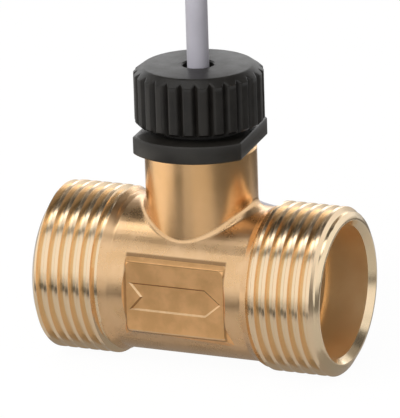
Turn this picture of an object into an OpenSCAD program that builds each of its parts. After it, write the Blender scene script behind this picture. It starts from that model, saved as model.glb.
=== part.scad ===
// Turbine water flow sensor: a brass tee with a male pipe thread at each end,
// a turbine cartridge in its bore, and a plastic sensor head with a cable on its neck.
// Millimetres. The origin is the centre of the inlet's end face, +X is the flow
// direction, +Z points up the neck, and the side with the arrow faces -Y.

/* [Pipe] */
// Length between the two end faces
pipe_len = 61; // [56:1:80]
// Major diameter of both pipe threads (G1)
thread_d = 33.24; // [32.6:0.02:34.2]
// Length of full thread from each end face
thread_len = 13.5; // [10:0.5:15]
// Length of the thread's run-out down to the tube
runout_len = 2.9; // [1.5:0.1:3.5]
// Length of the lead chamfer at each end
lead_len = 1.25; // [0.6:0.05:2]
// Depth of the lead chamfer, measured on the radius
lead_depth = 2.02; // [1.2:0.02:2.2]
// Step from the threads' crests down to the plain tube, on the radius
thread_step = 1.42; // [1.2:0.02:1.6]
// Wall of the plain tube round the bore that takes the cartridge
tube_wall = 2.1; // [1.8:0.05:2.6]
// Length of the chamfer at each mouth
mouth_len = 1.3; // [0.6:0.1:2]
// Depth of the mouths' chamfer, measured on the radius
mouth_depth = 1.0; // [0.5:0.05:1.1]
// Length of the shoulder that stops the cartridge
stop_len = 4; // [2:0.1:6]
// Height of the shoulder that stops the cartridge
stop_height = 0.9; // [0.6:0.1:1.4]

/* [Neck] */
// Outside diameter of the neck
neck_d = 22; // [21:0.1:24]
// Height of the neck's rim above the top of the tube
neck_rise = 11.9; // [9:0.1:16]
// Chamfer on the neck's rim
neck_chamfer = 0.5; // [0.2:0.1:0.8]
// Diameter of the blind pocket in the neck
pocket_d = 16; // [15:0.1:17]
// Brass left between the pocket and the bore
membrane = 1.2; // [0.8:0.1:1.5]
// Width of the seat for the head's seal, round the pocket
seal_seat_w = 1.45; // [1:0.05:1.8]
// Depth of the seat for the head's seal
seal_seat_depth = 1.2; // [0.8:0.1:2]

/* [Direction pad] */
// Length of the flat pad along the pipe
pad_len = 20.7; // [16:0.1:22]
// Height of the flat pad
pad_height = 13.9; // [11:0.1:16]
// Depth of the pad's face below the side of the tube
pad_sink = 0.8; // [0.4:0.05:1.2]
// Height of the pad's middle above the pipe axis
pad_z = -0.5; // [-2:0.1:2]
// Width of the sloped border round the pad
pad_draft = 0.9; // [0.4:0.1:1.5]
// Slope of the pad's flanks where it stands out of the tube, outwards over inwards
pad_flank = 0.8; // [0.4:0.05:1]
// Radius of the pad's corners
pad_corner = 1.2; // [0.6:0.1:2]
// Length of the sunk arrow
arrow_len = 19.6; // [14:0.1:20]
// Height of the sunk arrow
arrow_height = 5.6; // [4:0.1:8]
// Length of the arrow's point
arrow_point = 3.4; // [2:0.1:5]
// Depth of the notch in the arrow's tail
arrow_notch = 2.4; // [1:0.1:4]
// Depth of the sunk arrow
arrow_depth = 0.3; // [0.2:0.05:0.5]

/* [Sensor housing] */
// Diameter of the flange on the neck
flange_d = 28.4; // [27:0.1:30]
// Distance across the flange's two flats
flange_flats = 22; // [21:0.1:24]
// Thickness of the flange
flange_thick = 3.6; // [2.5:0.1:5]
// Turn of the flats from the pipe axis, in degrees
flange_turn = 7; // [-20:1:20]
// Diameter of the stud that takes the cap nut
stud_d = 18; // [17.4:0.1:19]
// Height of the stud above the flange
stud_height = 9.2; // [8:0.1:11]
// Diameter of the housing's inner chamber
chamber_d = 11.2; // [10.6:0.1:12]
// Thickness of the chamber's floor
chamber_floor = 0.8; // [0.6:0.1:1.2]

/* [Cap nut] */
// Outside diameter of the cap nut over its ribs
cap_d = 25.4; // [24.4:0.1:27]
// Height of the gap between the flange and the cap nut
cap_gap = 1.4; // [0.8:0.1:2]
// Thickness of the cap nut's top wall
cap_top = 1.6; // [1.2:0.1:2.4]
// Diameter of the cable hole
cap_hole_d = 6.2; // [5.4:0.1:7]
// Width of the bevel round the top
cap_bevel_w = 1.9; // [1:0.1:2.2]
// Height of the bevel round the top
cap_bevel_h = 1.4; // [0.8:0.1:2.4]
// Number of grip ribs
rib_count = 26; // [18:1:32]
// Depth of the grooves between the ribs
groove_depth = 0.9; // [0.5:0.05:1.1]
// Share of each rib's pitch that its groove takes
groove_share = 0.42; // [0.3:0.01:0.6]

/* [Cable seal] */
// Diameter of the seat for the rubber seal in the stud
grommet_d = 12.6; // [12.4:0.1:13]
// Depth of the seal's seat
grommet_seat = 3.9; // [3:0.1:4.5]
// Height by which the seal stands above the stud
grommet_proud = 1.0; // [0.6:0.1:1.4]
// Thickness of the slip washer under the cap nut
washer_thick = 0.9; // [0.6:0.1:1.2]

/* [Sensor board] */
// Width of the circuit board
board_w = 8.4; // [7:0.1:9]
// Thickness of the circuit board
board_thick = 1.0; // [0.8:0.1:1.6]
// Height of the circuit board
board_h = 13; // [10:0.5:14]
// Width of the Hall sensor
chip_w = 4.1; // [3.4:0.1:4.6]
// Depth of the Hall sensor
chip_depth = 3.0; // [2.6:0.1:3.4]
// Height of the Hall sensor
chip_h = 1.5; // [1.2:0.1:2]
// Gap between the Hall sensor and the board behind it
chip_gap = 0.9; // [0.6:0.1:1.2]

/* [Turbine cartridge] */
// Length of the rotor's hub
rotor_len = 18; // [14:0.5:18]
// End play of the rotor's hub on each side
rotor_play = 0.4; // [0.2:0.05:0.8]
// Length of the inlet spider
inlet_spider_len = 9; // [7:0.5:10]
// Length of the outlet spider
outlet_spider_len = 6.1; // [5.5:0.1:6.5]
// Wall of the cartridge's rings and sleeve
sleeve_wall = 1.0; // [0.8:0.05:1.2]
// Number of vanes on each spider
vane_count = 4; // [3:1:6]
// Thickness of a vane
vane_thick = 1.1; // [0.8:0.1:1.6]
// Diameter of the spiders' hubs
spider_hub_d = 6.8; // [6.2:0.1:8]
// Thickness of the cartridge's seal
seal_thick = 1.0; // [0.6:0.1:1.4]
// Thickness of the retaining ring
ring_thick = 1.0; // [0.8:0.1:1.2]
// Depth of the retaining ring's groove
ring_groove = 0.6; // [0.4:0.05:0.8]
// Width of the retaining ring's band
ring_band = 1.5; // [1.3:0.1:1.8]

/* [Rotor] */
// Diameter of the rotor's hub
hub_d = 8.4; // [7.6:0.1:9.4]
// Number of helical blades
blade_count = 5; // [3:1:7]
// Thickness of a blade
blade_thick = 1.1; // [0.8:0.1:1.5]
// Turn of a blade over the rotor's length, in degrees
blade_twist = 100; // [60:5:130]
// Running gap between the rotor and the sleeve
blade_gap = 0.6; // [0.4:0.05:0.9]
// Length of the rotor's magnet band
band_len = 5; // [4:0.5:8]
// Wall of the rotor's magnet band
band_wall = 2.0; // [1.6:0.1:2.6]
// Number of magnets in the band
magnet_count = 4; // [2:2:8]
// Diameter of a magnet
magnet_d = 3; // [2.4:0.1:3.6]
// Thickness of a magnet
magnet_thick = 1.3; // [1:0.1:1.5]
// Depth by which a magnet lies below the band's surface
magnet_sunk = 0.1; // [0.05:0.05:0.2]
// Diameter of the steel shaft
shaft_d = 2.0; // [1.6:0.1:2.4]
// Outside diameter of a bearing bush
bush_d = 4.4; // [4:0.1:4.8]
// Length of a bearing bush
bush_len = 4; // [3:0.1:4.4]

/* [Clearances] */
// Radial gap of the cartridge in the bore
cartridge_gap = 0.1; // [0.05:0.01:0.15]
// Radial running gap of the shaft in its bushes
running_gap = 0.05; // [0.02:0.01:0.08]
// Radial gap of pieces that are pushed together
seat_gap = 0.02; // [0.01:0.01:0.04]
// Radial gap between screwed plastic pieces
screw_gap = 0.15; // [0.05:0.01:0.2]
// Gap below the housing in the neck's pocket
probe_gap = 0.2; // [0.1:0.05:0.4]
// End gap of the shaft in each spider
shaft_end_gap = 0.3; // [0.2:0.05:0.5]

/* [Cable] */
// Diameter of the cable's jacket
cable_d = 4.35; // [4:0.05:4.8]
// Diameter of one insulated core
core_d = 1.3; // [1:0.05:1.4]
// Length of core that is stripped at the far end
strip_len = 18; // [14:1:20]
// Length of a ferrule
ferrule_len = 5; // [4:1:8]
// Thickness of the strap round the hank
tie_thick = 0.6; // [0.4:0.1:1]
// Width of the strap round the hank
tie_w = 6.5; // [5:0.5:7]

/* [Hidden] */
$fn = 96;

thread_r = thread_d / 2;
tube_r = thread_r - thread_step;
bore_r = tube_r - tube_wall;
pad_face = tube_r - pad_sink;
neck_top = tube_r + neck_rise;
seal_seat_d = pocket_d + 2 * seal_seat_w;
stop_r = bore_r - stop_height;
neck_x = pipe_len / 2;
neck_r = neck_d / 2;

// Stations along the pipe, worked out from the rotor, which sits under the neck
rotor_x0 = neck_x - rotor_len / 2;
rotor_x1 = neck_x + rotor_len / 2;
inlet_spider_x1 = rotor_x0 - rotor_play;
inlet_spider_x0 = inlet_spider_x1 - inlet_spider_len;
outlet_spider_x0 = rotor_x1 + rotor_play;
outlet_spider_x1 = outlet_spider_x0 + outlet_spider_len;
stop_x0 = outlet_spider_x1 + seal_thick;
stop_x1 = stop_x0 + stop_len;
ring_x0 = inlet_spider_x0 - ring_thick;
ring_side_gap = 0.1;
cartridge_r = bore_r - cartridge_gap;
passage_r = cartridge_r - sleeve_wall;

// Heights in the neck and the head
pocket_floor = bore_r + membrane;
probe_z0 = pocket_floor + probe_gap;
chamber_z0 = probe_z0 + chamber_floor;
flange_z1 = neck_top + flange_thick;
stud_z1 = flange_z1 + stud_height;
grommet_z0 = stud_z1 - grommet_seat;
grommet_z1 = stud_z1 + grommet_proud;
washer_z1 = grommet_z1 + washer_thick;
cap_z0 = flange_z1 + cap_gap;
cap_z1 = washer_z1 + cap_top;
chamber_r = chamber_d / 2;
stud_r = stud_d / 2;

// The board stands behind the chip, whose leads are soldered to its front
lead_w = 0.4;
board_y0 = chip_depth / 2 + chip_gap;
board_z0 = chamber_z0 + chip_h + 0.5;
board_z1 = board_z0 + board_h;
jacket_z0 = board_z1 + 2.6;

// The rotor's shaft and the blind holes that it runs in
blind_depth = bush_len + 0.9;
shaft_x0 = inlet_spider_x1 - blind_depth + shaft_end_gap;
shaft_x1 = outlet_spider_x0 + blind_depth - shaft_end_gap;
shaft_r = shaft_d / 2;
bush_r = bush_d / 2;
rotor_r = passage_r - blade_gap;

// The cable's hank lies on the surface under the pipe, behind it
floor_z = -16.62;
cable_r = cable_d / 2;
hank_x = [-0.6, 27.4];
hank_y = 37.9;
hank_inner_r = 10.875;
hank_outer_r = 19.575;
hank_z0 = floor_z + tie_thick;
hank_z1 = hank_z0 + 3 * cable_d;
tie_x = 4.5;

// The cable's route from the head, up out of the cap nut, over and down to the hank
cable_route = [
  [30.5, 0, 34], [30.5, 0, 43.4], [30.5, 0, 50], [30.5, 0, 57], [29.5, 2.1, 68.5],
  [26.7, 8.1, 78.2], [22.7, 17.1, 84.7], [17.8, 27.65, 87], [12.9, 38.2, 84.7],
  [8.8, 47.2, 78.2], [6.1, 53.2, 68.5], [5.2, 55.3, 57], [5.2, 55.3, 45],
  [5.2, 55.3, 30], [5.2, 55.3, 18], [6.6, 55.3, 6], [10.5, 55.3, 0.2],
  [16.3, 55.3, -3.7], [23.2, 55.3, -5.1]
];
// The cable's far end, inside the hank on the surface
tail_route = [
  [27.4, 24.9, -13.8], [23.7, 25.9, -13.8], [20.2, 28.9, -13.8], [16.7, 32.2, -13.8],
  [13.2, 34.3, -13.8]
];
tail_end = tail_route[4];
core_fan = 5;
ferrule_step = 0.2;

// A solid of revolution about the pipe axis, from points of [station, radius]
module turned_on_pipe(points) {
  rotate([0, 90, 0]) rotate_extrude() polygon([for (p = points) [p[1], p[0]]]);
}

// A solid of revolution about the neck axis, from points of [radius, height]
module turned_on_neck(points) {
  translate([neck_x, 0, 0]) rotate_extrude() polygon(points);
}

// A plain ring about the pipe axis
module pipe_ring(x0, x1, outer_r, inner_r) {
  turned_on_pipe([[x0, inner_r], [x1, inner_r], [x1, outer_r], [x0, outer_r]]);
}

// A round bar along the pipe axis
module pipe_bar(x0, x1, r) {
  translate([x0, 0, 0]) rotate([0, 90, 0]) cylinder(h = x1 - x0, r = r);
}

// Points of an arc, for profiles
function arc(cx, cy, r, a0, a1, n = 6) =
  [for (i = [0:n]) let (a = a0 + (a1 - a0) * i / n) [cx + r * cos(a), cy + r * sin(a)]];

// A tube of so many sides swept along a route, with its rings turned as little as possible
function unit(v) = v / norm(v);
function tangent(route, i) =
  unit(route[min(i + 1, len(route) - 1)] - route[max(i - 1, 0)]);
function square_to(v, t) = unit(v - (v * t) * t);
function carried(route, i, first) =
  square_to(i == 0 ? first : carried(route, i - 1, first), tangent(route, i));
module swept_tube(route, r, sides = 10, first = [0, 1, 0.01]) {
  rings = len(route);
  points = [
    for (i = [0:rings - 1])
      let (t = tangent(route, i), u = carried(route, i, first), v = cross(t, u))
        for (k = [0:sides - 1])
          route[i] + r * (cos(360 * k / sides) * u + sin(360 * k / sides) * v)
  ];
  walls = [
    for (i = [0:rings - 2], k = [0:sides - 1])
      let (a = i * sides + k, b = i * sides + (k + 1) % sides)
        for (f = [[a, a + sides, b + sides], [a, b + sides, b]]) f
  ];
  near_end = [for (k = [0:sides - 1]) k];
  far_end = [for (k = [sides - 1:-1:0]) (rings - 1) * sides + k];
  polyhedron(points, concat(walls, [near_end, far_end]), convexity = 6);
}

// The brass tee: threaded pipe, neck and direction pad, in one piece
module pad_frustum(len_x, len_z, y_outer, y_inner, slope) {
  corner = pad_corner;
  hull()
    for (x = [-1, 1], z = [-1, 1])
      for (step = [[y_outer, 0], [y_inner, slope]])
        translate([
          neck_x + x * (len_x / 2 - corner + step[1]),
          -step[0],
          pad_z + z * (len_z / 2 - corner + step[1])
        ])
          rotate([90, 0, 0]) cylinder(h = 0.01, r = corner, $fn = 24);
}

module arrow_outline() {
  x0 = -arrow_len / 2;
  x1 = arrow_len / 2;
  h = arrow_height / 2;
  polygon([
    [x0, -h], [x1 - arrow_point, -h], [x1, 0], [x1 - arrow_point, h], [x0, h],
    [x0 + arrow_notch, 0]
  ]);
}

module tee_body() {
  face_r = thread_r - lead_depth;
  runout_x = thread_len + runout_len;
  relief = 1.6;
  pad_root = 2.6;
  color("goldenrod")
    difference() {
      union() {
        turned_on_pipe([
          [0, 0], [0, face_r], [lead_len, thread_r], [thread_len, thread_r],
          [runout_x, tube_r], [pipe_len - runout_x, tube_r],
          [pipe_len - thread_len, thread_r], [pipe_len - lead_len, thread_r],
          [pipe_len, face_r], [pipe_len, 0]
        ]);
        turned_on_neck([
          [0, 0], [neck_r, 0], [neck_r, neck_top - neck_chamfer],
          [neck_r - neck_chamfer, neck_top], [0, neck_top]
        ]);
        pad_frustum(pad_len, pad_height, pad_face, pad_face - pad_root, pad_flank * pad_root);
      }
      // The flat face is milled into the tube, and its border slopes outwards
      pad_frustum(
        pad_len, pad_height, pad_face + 0.01, pad_face + relief, pad_draft * 1.4
      );
      translate([neck_x, arrow_depth - pad_face, pad_z])
        rotate([90, 0, 0]) linear_extrude(height = 2) arrow_outline();
      // Bore with its mouths, the stop shoulder and the retaining ring's groove
      turned_on_pipe([
        [-1, 0], [-1, bore_r + mouth_depth], [0, bore_r + mouth_depth],
        [mouth_len, bore_r],
        [ring_x0 - ring_side_gap, bore_r], [ring_x0 - ring_side_gap, bore_r + ring_groove],
        [inlet_spider_x0, bore_r + ring_groove], [inlet_spider_x0, bore_r],
        [stop_x0, bore_r], [stop_x0, stop_r], [stop_x1, stop_r], [stop_x1, bore_r],
        [pipe_len - mouth_len, bore_r],
        [pipe_len, bore_r + mouth_depth], [pipe_len + 1, bore_r + mouth_depth],
        [pipe_len + 1, 0]
      ]);
      // Blind pocket and the seal's seat
      turned_on_neck([
        [0, pocket_floor], [pocket_d / 2, pocket_floor],
        [pocket_d / 2, neck_top - seal_seat_depth], [seal_seat_d / 2, neck_top - seal_seat_depth],
        [seal_seat_d / 2, neck_top + 1], [0, neck_top + 1]
      ]);
    }
}

// Spring steel ring that holds the cartridge, with its two eyes at the bottom
module retaining_ring() {
  outer_r = bore_r + ring_groove - seat_gap;
  inner_r = outer_r - ring_band;
  eye_r = 1.5;
  eye_y = 2.6;
  color("silver")
    translate([ring_x0, 0, 0]) rotate([0, 90, 0])
      linear_extrude(height = ring_thick)
        difference() {
          union() {
            difference() {
              circle(outer_r);
              circle(inner_r);
              translate([0, -eye_y + 0.9]) square([outer_r + 1, 2 * eye_y - 1.8]);
            }
            for (side = [-1, 1]) translate([inner_r - 0.2, side * eye_y]) circle(eye_r, $fn = 32);
          }
          for (side = [-1, 1]) translate([inner_r - 0.4, side * eye_y]) circle(0.6, $fn = 24);
        }
}

// Ring, vanes and hub of a spider, with a blind seat for its bush on the rotor's side
module spider(x0, x1, hub_points, seat_x0, seat_x1, blind_x0, blind_x1) {
  difference() {
    union() {
      pipe_ring(x0, x1, cartridge_r, passage_r);
      turned_on_pipe(hub_points);
      for (i = [0:vane_count - 1])
        rotate([45 + i * 360 / vane_count, 0, 0])
          translate([x0, -vane_thick / 2, spider_hub_d / 2 - 0.8])
            cube([x1 - x0, vane_thick, passage_r + 0.4 - spider_hub_d / 2 + 0.8]);
    }
    pipe_bar(seat_x0, seat_x1, bush_r + seat_gap);
    pipe_bar(blind_x0, blind_x1, shaft_r + 0.4);
  }
}

module inlet_spider() {
  hub_r = spider_hub_d / 2;
  nose = arc(inlet_spider_x0 + hub_r, 0, hub_r, 180, 90);
  color("white")
    spider(
      inlet_spider_x0, inlet_spider_x1,
      concat(nose, [[inlet_spider_x1, hub_r], [inlet_spider_x1, 0]]),
      inlet_spider_x1 - bush_len, inlet_spider_x1 + 1,
      inlet_spider_x1 - blind_depth, inlet_spider_x1
    );
}

module outlet_spider() {
  hub_r = spider_hub_d / 2;
  tip_r = 1.2;
  tail = arc(outlet_spider_x1 - tip_r, hub_r - tip_r, tip_r, 90, 0);
  color("white")
    spider(
      outlet_spider_x0, outlet_spider_x1,
      concat([[outlet_spider_x0, 0], [outlet_spider_x0, hub_r]], tail, [[outlet_spider_x1, 0]]),
      outlet_spider_x0 - 1, outlet_spider_x0 + bush_len,
      outlet_spider_x0, outlet_spider_x0 + blind_depth
    );
}

// Plastic liner that the rotor turns in
module cartridge_sleeve() {
  color("white") pipe_ring(inlet_spider_x1, outlet_spider_x0, cartridge_r, passage_r);
}

// Flat rubber ring between the cartridge and its stop
module cartridge_seal() {
  color("black") pipe_ring(outlet_spider_x1, stop_x0, cartridge_r, stop_r);
}

// Plastic bushes that carry the shaft
module bush(x0) {
  pipe_ring(x0, x0 + bush_len, bush_r, shaft_r + running_gap);
}

module inlet_bearing() {
  color("ivory") bush(inlet_spider_x1 - bush_len);
}

module outlet_bearing() {
  color("ivory") bush(outlet_spider_x0);
}

// The turbine: a hub, helical blades and the band that holds the magnets
function magnet_angle(i) = i * 360 / magnet_count;
module at_magnets() {
  for (i = [0:magnet_count - 1])
    translate([neck_x, 0, 0]) rotate([magnet_angle(i), 0, 0])
      translate([0, 0, rotor_r - magnet_thick - magnet_sunk]) children();
}

module rotor() {
  hub_r = hub_d / 2;
  edge = 0.8;
  slices = 14;
  color("steelblue")
    difference() {
      union() {
        turned_on_pipe([
          [rotor_x0, 0], [rotor_x0, hub_r - edge], [rotor_x0 + edge, hub_r],
          [rotor_x1 - edge, hub_r], [rotor_x1, hub_r - edge], [rotor_x1, 0]
        ]);
        translate([rotor_x0 + edge, 0, 0]) rotate([0, 90, 0])
          linear_extrude(height = rotor_len - 2 * edge, twist = blade_twist, slices = slices, $fn = 8)
            for (i = [0:blade_count - 1])
              rotate(i * 360 / blade_count)
                translate([hub_r - 1, -blade_thick / 2])
                  square([rotor_r - 0.2 - hub_r + 1, blade_thick]);
        pipe_ring(neck_x - band_len / 2, neck_x + band_len / 2, rotor_r, rotor_r - band_wall);
      }
      pipe_bar(rotor_x0 - 1, rotor_x1 + 1, shaft_r + seat_gap);
      at_magnets() cylinder(h = magnet_thick + 1, d = magnet_d + 2 * seat_gap);
    }
}

module rotor_magnets() {
  color("dimgray") at_magnets() cylinder(h = magnet_thick, d = magnet_d);
}

module rotor_shaft() {
  tip = 0.3;
  color("lightgray")
    turned_on_pipe([
      [shaft_x0, 0], [shaft_x0, shaft_r - tip], [shaft_x0 + tip, shaft_r],
      [shaft_x1 - tip, shaft_r], [shaft_x1, shaft_r - tip], [shaft_x1, 0]
    ]);
}

// Plastic housing: probe in the neck's pocket, flange with two flats, and threaded stud
module sensor_housing() {
  probe_r = pocket_d / 2 - screw_gap;
  tip = 0.6;
  edge = 0.4;
  color("#2b2a29")
    difference() {
      union() {
        turned_on_neck([
          [0, probe_z0], [probe_r - tip, probe_z0], [probe_r, probe_z0 + tip],
          [probe_r, neck_top + 0.5], [0, neck_top + 0.5]
        ]);
        intersection() {
          turned_on_neck([
            [0, neck_top], [flange_d / 2 - edge, neck_top], [flange_d / 2, neck_top + edge],
            [flange_d / 2, flange_z1 - edge], [flange_d / 2 - edge, flange_z1], [0, flange_z1]
          ]);
          translate([neck_x, 0, neck_top]) rotate([0, 0, flange_turn])
            translate([-flange_flats / 2, -flange_d, 0])
              cube([flange_flats, 2 * flange_d, flange_thick]);
        }
        turned_on_neck([
          [0, flange_z1 - 0.5], [stud_r, flange_z1 - 0.5], [stud_r, stud_z1 - edge],
          [stud_r - edge, stud_z1], [0, stud_z1]
        ]);
      }
      turned_on_neck([
        [0, chamber_z0], [chamber_r, chamber_z0], [chamber_r, grommet_z0],
        [grommet_d / 2, grommet_z0], [grommet_d / 2, stud_z1 + 1], [0, stud_z1 + 1]
      ]);
    }
}

// Rubber ring between the flange and the neck
module head_seal() {
  inner_r = pocket_d / 2;
  outer_r = seal_seat_d / 2 - seat_gap;
  low = neck_top - seal_seat_depth;
  round_r = 0.3;
  color("black")
    turned_on_neck(concat(
      arc(outer_r - round_r, low + round_r, round_r, -90, 0, 3),
      arc(outer_r - round_r, neck_top - round_r, round_r, 0, 90, 3),
      [[inner_r, neck_top], [inner_r, low]]
    ));
}

module sensor_board() {
  color("darkgreen")
    translate([neck_x - board_w / 2, board_y0, board_z0]) cube([board_w, board_thick, board_h]);
}

// Hall sensor on the chamber's floor, with three leads up to the board
module hall_chip() {
  pitch = 1.27;
  lead_z = chamber_z0 + chip_h / 2;
  color("#202020") {
    translate([neck_x - chip_w / 2, -chip_depth / 2, chamber_z0]) cube([chip_w, chip_depth, chip_h]);
    for (i = [-1:1])
      translate([neck_x + i * pitch - lead_w / 2, 0, 0]) {
        translate([0, chip_depth / 2 - 0.2, lead_z])
          cube([lead_w, board_y0 - chip_depth / 2 + 0.2, lead_w]);
        translate([0, board_y0 - lead_w, lead_z])
          cube([lead_w, lead_w, board_z0 - lead_z + 2]);
      }
  }
}

// Capacitor and two resistors on the board's front
module board_parts() {
  y = board_y0;
  color("peru") {
    translate([neck_x - 1, y - 1.2, board_z0 + 7]) cube([2, 1.2, 1.25]);
    for (i = [-1, 1])
      translate([neck_x + i * 2.6 - 0.6, y - 0.6, board_z0 + 4.4]) cube([1.2, 0.6, 2]);
  }
}

// The three cores between the board and the cable's jacket
module board_leads() {
  top = jacket_z0;
  solder_z = board_z1 - 2.5;
  color("firebrick")
    for (i = [-1:1])
      swept_tube(
        [
          [neck_x + i * 2.2, board_y0 - core_d / 2, solder_z],
          [neck_x + i * 2.2, board_y0 - core_d / 2, board_z1],
          [neck_x + i * 1.6, board_y0 - core_d, board_z1 + 1.4],
          [neck_x + i * 1.35, i == 0 ? 0.9 : -0.5, top]
        ],
        core_d / 2, 8, [0, 1, 0]
      );
}

// Rubber seal that grips the cable in the stud
module cable_grommet() {
  outer_r = grommet_d / 2 - seat_gap;
  color("#3a3a3a")
    turned_on_neck([
      [cable_r + seat_gap, grommet_z0], [outer_r, grommet_z0], [outer_r, stud_z1],
      [outer_r - 0.4, grommet_z1], [cable_r + seat_gap, grommet_z1]
    ]);
}

// Slip washer that lets the cap nut turn on the seal
module slip_washer() {
  color("ivory")
    turned_on_neck([
      [cap_hole_d / 2, grommet_z1], [grommet_d / 2, grommet_z1],
      [grommet_d / 2, washer_z1], [cap_hole_d / 2, washer_z1]
    ]);
}

// Cap nut: ribbed skirt with a bevelled top and the cable hole
module rib_outline() {
  r = cap_d / 2;
  pitch = 360 / rib_count;
  half = pitch * groove_share / 2;
  polygon([
    for (i = [0:rib_count - 1])
      let (a = i * pitch)
        for (p = [
          [r - groove_depth, a], [r - 0.12, a + half * 0.85], [r, a + half * 1.25],
          [r, a + pitch - half * 1.25], [r - 0.12, a + pitch - half * 0.85]
        ]) p[0] * [cos(p[1]), sin(p[1])]
  ]);
}

module cap_nut() {
  r = cap_d / 2;
  foot = 0.5;
  cavity_r = stud_r + screw_gap;
  color("#1f1e1d")
    difference() {
      intersection() {
        translate([neck_x, 0, cap_z0]) linear_extrude(height = cap_z1 - cap_z0) rib_outline();
        turned_on_neck([
          [0, cap_z0], [r - foot, cap_z0], [r, cap_z0 + foot], [r, cap_z1 - cap_bevel_h],
          [r - cap_bevel_w, cap_z1], [0, cap_z1]
        ]);
      }
      turned_on_neck([
        [0, cap_z0 - 1], [cavity_r, cap_z0 - 1], [cavity_r, washer_z1], [cap_hole_d / 2, washer_z1],
        [cap_hole_d / 2, cap_z1 + 1], [0, cap_z1 + 1]
      ]);
    }
}

module cable() {
  color("#a8a6b0") swept_tube(cable_route, cable_r);
}

// The hank's outer shape, an oval ring with round ends
module oval(r) {
  translate([hank_x[0], hank_y]) circle(r);
  translate([hank_x[1], hank_y]) circle(r);
  translate([hank_x[0], hank_y - r]) square([hank_x[1] - hank_x[0], 2 * r]);
}

module cable_hank() {
  color("#a8a6b0")
    translate([0, 0, hank_z0]) linear_extrude(height = hank_z1 - hank_z0)
      difference() {
        oval(hank_outer_r);
        oval(hank_inner_r);
      }
}

module cable_tail() {
  color("#a8a6b0") swept_tube(tail_route, cable_r, 10, [0, 0, 1]);
}

// Strap round the hank, a band outside the hank's section
module hank_section(grow) {
  translate([hank_y - hank_outer_r - grow, hank_z0 - grow])
    square([2 * (hank_outer_r + grow), hank_z1 - hank_z0 + 2 * grow]);
}

module hank_tie() {
  color("#333333")
    translate([tie_x - tie_w / 2, 0, 0]) rotate([90, 0, 90]) linear_extrude(height = tie_w)
      difference() {
        hank_section(tie_thick);
        hank_section(0);
      }
}

// The stripped cores at the far end fan out a little, each with its ferrule
module at_core(i) {
  translate(tail_end + [0, i * core_d * 1.05, 0]) rotate([0, -90, i * -core_fan]) children();
}

module core(i) {
  at_core(i) cylinder(h = strip_len - ferrule_len, d = core_d, $fn = 24);
}

module core_red() { color("red") core(-1); }
module core_black() { color("black") core(0); }
module core_yellow() { color("gold") core(1); }

module core_ferrules() {
  color("silver")
    for (i = [-1:1])
      at_core(i) translate([0, 0, strip_len - ferrule_len])
        cylinder(h = ferrule_len, d = core_d - ferrule_step, $fn = 24);
}

tee_body();
retaining_ring();
inlet_spider();
outlet_spider();
cartridge_sleeve();
cartridge_seal();
inlet_bearing();
outlet_bearing();
rotor();
rotor_magnets();
rotor_shaft();
sensor_housing();
head_seal();
sensor_board();
hall_chip();
board_parts();
board_leads();
cable_grommet();
slip_washer();
cap_nut();
cable();
cable_hank();
cable_tail();
hank_tie();
core_red();
core_black();
core_yellow();
core_ferrules();
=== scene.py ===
"""Water flow sensor: a threaded brass tee with a ribbed black head and a grey cable."""

import logging
import math
from dataclasses import dataclass
from enum import Enum, IntEnum
from typing import Callable, Iterable, Mapping, Sequence

import bmesh
import bpy
from mathutils import Matrix, Vector


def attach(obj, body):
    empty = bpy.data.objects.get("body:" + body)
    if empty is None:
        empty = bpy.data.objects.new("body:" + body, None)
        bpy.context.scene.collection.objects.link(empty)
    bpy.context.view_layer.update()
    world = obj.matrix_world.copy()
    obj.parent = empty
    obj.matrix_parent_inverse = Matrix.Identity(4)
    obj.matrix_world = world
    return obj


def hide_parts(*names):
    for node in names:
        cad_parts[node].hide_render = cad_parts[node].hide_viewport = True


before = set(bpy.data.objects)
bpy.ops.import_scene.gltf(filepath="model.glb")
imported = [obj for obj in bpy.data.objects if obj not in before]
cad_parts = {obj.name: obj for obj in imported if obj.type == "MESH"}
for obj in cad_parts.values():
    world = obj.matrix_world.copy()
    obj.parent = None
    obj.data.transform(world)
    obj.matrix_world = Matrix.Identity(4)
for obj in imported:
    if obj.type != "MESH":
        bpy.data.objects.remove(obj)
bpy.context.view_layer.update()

log = logging.getLogger("flow_sensor")
MM = 0.001
Point = tuple[float, float, float]
Pair = tuple[float, float]
Band = tuple[Pair, Pair]


class Lay(Enum):
    """How a surface was made, which gives the direction of its fine marks."""

    EVEN = (1.0, 1.0, 1.0)
    ROUND_PIPE = (1.0, 0.04, 0.04)
    ROUND_NECK = (0.04, 0.04, 1.0)


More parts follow.
